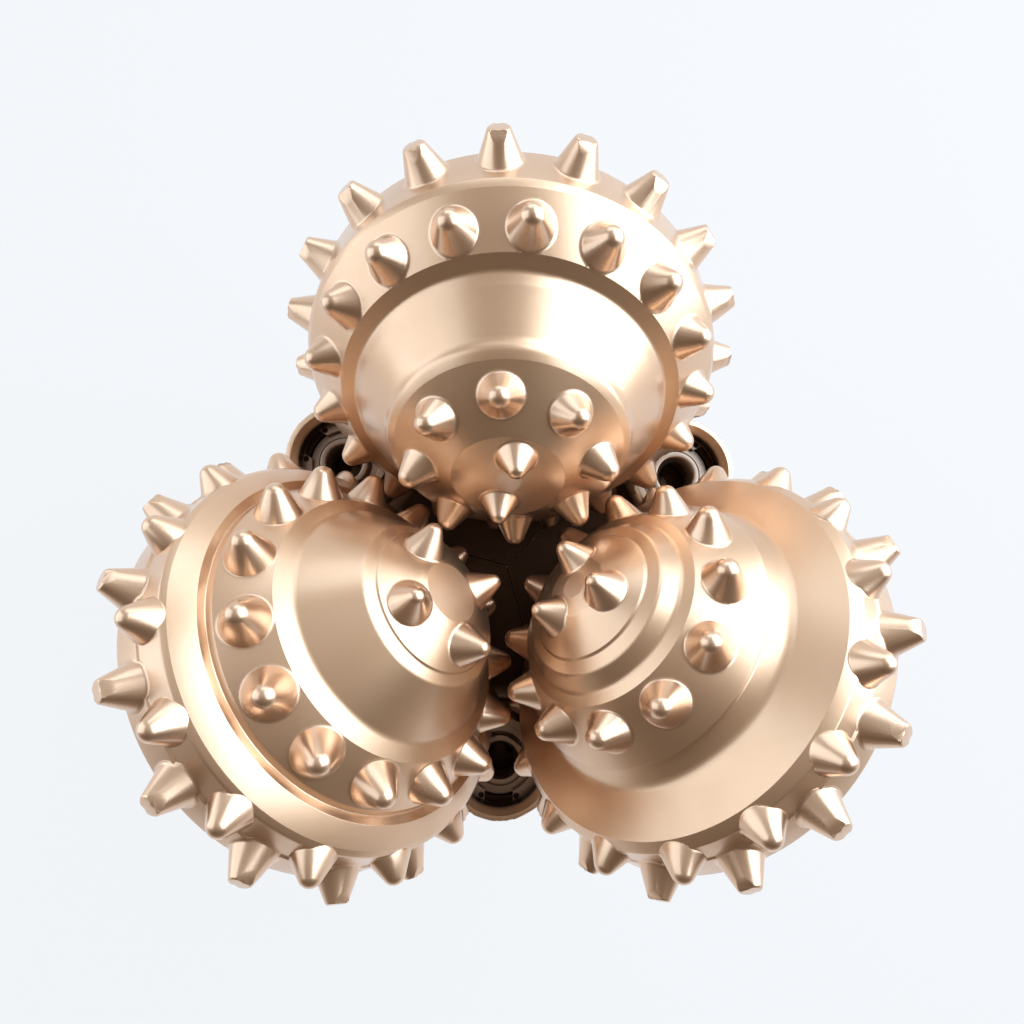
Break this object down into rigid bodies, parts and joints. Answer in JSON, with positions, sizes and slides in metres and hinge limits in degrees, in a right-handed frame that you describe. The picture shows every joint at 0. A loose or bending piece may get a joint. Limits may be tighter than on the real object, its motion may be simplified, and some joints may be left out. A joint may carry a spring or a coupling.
{
  "type": "tricone drill bit",
  "caption": "Sealed-bearing tricone rotary drill bit with carbide insert cones, jet nozzles, grease reservoirs and a tapered threaded pin.",
  "frame": {"origin": "on the bit axis, at the end face of the threaded pin", "axes": "+Z along the bit axis from the pin to the cones; +Y towards the first leg and cone"},
  "size_m": [0.2199, 0.2111, 0.306],
  "materials": {
    "gold_paint": "satin metallic spray over steel",
    "carbide": "satin, sprayed with the rest",
    "bare_steel": "machined",
    "bronze": "machined bearing bronze",
    "rubber": "matt"
  },
  "bodies": {
    "bit_body": {"leg_1": "gold_paint", "ball_plug_1": "bare_steel", "grease_canister_1": "bare_steel", "grease_diaphragm_1": "rubber", "reservoir_cap_1": "bare_steel", "reservoir_snap_ring_1": "bare_steel", "nozzle_1": "carbide", "nozzle_oring_1": "rubber", "nozzle_snap_ring_1": "bare_steel", "leg_2": "gold_paint", "ball_plug_2": "bare_steel", "grease_canister_2": "bare_steel", "grease_diaphragm_2": "rubber", "reservoir_cap_2": "bare_steel", "reservoir_snap_ring_2": "bare_steel", "nozzle_2": "carbide", "nozzle_oring_2": "rubber", "nozzle_snap_ring_2": "bare_steel", "leg_3": "gold_paint", "ball_plug_3": "bare_steel", "grease_canister_3": "bare_steel", "grease_diaphragm_3": "rubber", "reservoir_cap_3": "bare_steel", "reservoir_snap_ring_3": "bare_steel", "nozzle_3": "carbide", "nozzle_oring_3": "rubber", "nozzle_snap_ring_3": "bare_steel"},
    "rolling_cone_1": {"cone_1": "gold_paint", "cone_seal_1": "rubber", "pilot_bush_1": "bronze", "nose_insert_1_1": "carbide", "nose_insert_1_2": "carbide"},
    "rolling_balls_1": {"ball_race_1": "bare_steel"},
    "floating_bush_1": {"journal_bush_1": "bronze", "thrust_washer_1": "bronze"},
    "rolling_cone_2": {"cone_2": "gold_paint", "cone_seal_2": "rubber", "pilot_bush_2": "bronze", "nose_insert_2_1": "carbide", "nose_insert_2_2": "carbide", "nose_insert_2_3": "carbide", "nose_insert_2_4": "carbide"},
    "rolling_balls_2": {"ball_race_2": "bare_steel"},
    "floating_bush_2": {"journal_bush_2": "bronze", "thrust_washer_2": "bronze"},
    "rolling_cone_3": {"cone_3": "gold_paint", "cone_seal_3": "rubber", "pilot_bush_3": "bronze", "nose_insert_3_1": "carbide", "nose_insert_3_2": "carbide", "nose_insert_3_3": "carbide"},
    "rolling_balls_3": {"ball_race_3": "bare_steel"},
    "floating_bush_3": {"journal_bush_3": "bronze", "thrust_washer_3": "bronze"}
  },
  "joints": [
    {"name": "cone_1_spin", "type": "hinge", "parent": "bit_body", "child": "rolling_cone_1", "pos_m": [-0.0018, 0.05032, 0.25032], "axis": [0, 0.8387, -0.5446], "continuous": true},
    {"name": "balls_1_roll", "type": "hinge", "parent": "bit_body", "child": "rolling_balls_1", "pos_m": [-0.0018, 0.05032, 0.25032], "axis": [0, 0.8387, -0.5446], "continuous": true},
    {"name": "bush_1_float", "type": "hinge", "parent": "bit_body", "child": "floating_bush_1", "pos_m": [-0.0018, 0.05032, 0.25032], "axis": [0, 0.8387, -0.5446], "continuous": true},
    {"name": "cone_2_spin", "type": "hinge", "parent": "bit_body", "child": "rolling_cone_2", "pos_m": [-0.04268, -0.02672, 0.25032], "axis": [-0.7263, -0.4193, -0.5446], "continuous": true},
    {"name": "balls_2_roll", "type": "hinge", "parent": "bit_body", "child": "rolling_balls_2", "pos_m": [-0.04268, -0.02672, 0.25032], "axis": [-0.7263, -0.4193, -0.5446], "continuous": true},
    {"name": "bush_2_float", "type": "hinge", "parent": "bit_body", "child": "floating_bush_2", "pos_m": [-0.04268, -0.02672, 0.25032], "axis": [-0.7263, -0.4193, -0.5446], "continuous": true},
    {"name": "cone_3_spin", "type": "hinge", "parent": "bit_body", "child": "rolling_cone_3", "pos_m": [0.04448, -0.0236, 0.25032], "axis": [0.7263, -0.4193, -0.5446], "continuous": true},
    {"name": "balls_3_roll", "type": "hinge", "parent": "bit_body", "child": "rolling_balls_3", "pos_m": [0.04448, -0.0236, 0.25032], "axis": [0.7263, -0.4193, -0.5446], "continuous": true},
    {"name": "bush_3_float", "type": "hinge", "parent": "bit_body", "child": "floating_bush_3", "pos_m": [0.04448, -0.0236, 0.25032], "axis": [0.7263, -0.4193, -0.5446], "continuous": true}
  ],
  "couplings": [
    {"joint": "balls_1_roll", "follows": "cone_1_spin", "ratio": 0.614},
    {"joint": "bush_1_float", "follows": "cone_1_spin", "ratio": 0.5},
    {"joint": "balls_2_roll", "follows": "cone_2_spin", "ratio": 0.614},
    {"joint": "bush_2_float", "follows": "cone_2_spin", "ratio": 0.5},
    {"joint": "balls_3_roll", "follows": "cone_3_spin", "ratio": 0.614},
    {"joint": "bush_3_float", "follows": "cone_3_spin", "ratio": 0.5}
  ]
}
